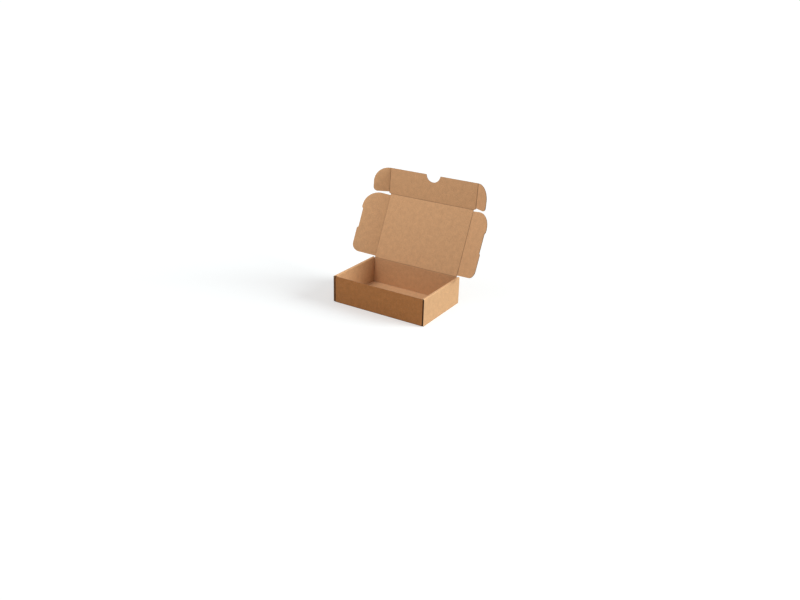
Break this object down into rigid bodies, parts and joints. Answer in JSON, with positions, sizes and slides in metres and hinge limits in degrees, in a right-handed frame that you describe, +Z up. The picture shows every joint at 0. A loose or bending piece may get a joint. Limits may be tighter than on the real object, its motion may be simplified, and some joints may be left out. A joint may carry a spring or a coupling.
{
  "type": "corrugated mailer box",
  "caption": "Kraft corrugated mailer box with rolled side walls, locking tabs, a hinged lid with side wings and a front flap with tucking ears and a thumb notch.",
  "frame": {"origin": "centre of the tray's underside, on the surface the box stands on", "axes": "+Z up, -Y towards the front wall, +X along the box's width to the right as seen from the front"},
  "size_m": [0.292, 0.2034, 0.2366],
  "materials": {
    "kraft_board": "matte"
  },
  "bodies": {
    "tray": {"tray": "kraft_board"},
    "lid": {"lid": "kraft_board"},
    "left_wing": {"left_wing": "kraft_board"},
    "right_wing": {"right_wing": "kraft_board"},
    "front_flap": {"front_flap": "kraft_board"},
    "left_ear": {"left_ear": "kraft_board"},
    "right_ear": {"right_ear": "kraft_board"}
  },
  "joints": [
    {"name": "lid_crease", "type": "hinge", "parent": "tray", "child": "lid", "pos_m": [0, 0.06935, 0.05635], "axis": [1, 0, 0], "range_deg": [-65, 57]},
    {"name": "front_flap_crease", "type": "hinge", "parent": "lid", "child": "front_flap", "pos_m": [0, 0.12797, 0.18205], "axis": [1, 0, 0], "range_deg": [-20, 70]},
    {"name": "left_wing_crease", "type": "hinge", "parent": "lid", "child": "left_wing", "pos_m": [-0.0987, 0.06935, 0.05635], "axis": [0, 0.4226, 0.9063], "range_deg": [-29, 61]},
    {"name": "right_wing_crease", "type": "hinge", "parent": "lid", "child": "right_wing", "pos_m": [0.0987, 0.06935, 0.05635], "axis": [0, -0.4226, -0.9063], "range_deg": [-26, 64]},
    {"name": "left_ear_crease", "type": "hinge", "parent": "front_flap", "child": "left_ear", "pos_m": [-0.10295, 0.12797, 0.18205], "axis": [0, 0.0872, 0.9962], "range_deg": [-16.57, 58]},
    {"name": "right_ear_crease", "type": "hinge", "parent": "front_flap", "child": "right_ear", "pos_m": [0.10295, 0.12797, 0.18205], "axis": [0, -0.0872, -0.9962], "range_deg": [-16.57, 58]}
  ],
  "couplings": [
    {"joint": "left_ear_crease", "follows": "front_flap_crease", "ratio": 0.82857},
    {"joint": "right_ear_crease", "follows": "front_flap_crease", "ratio": 0.82857}
  ]
}
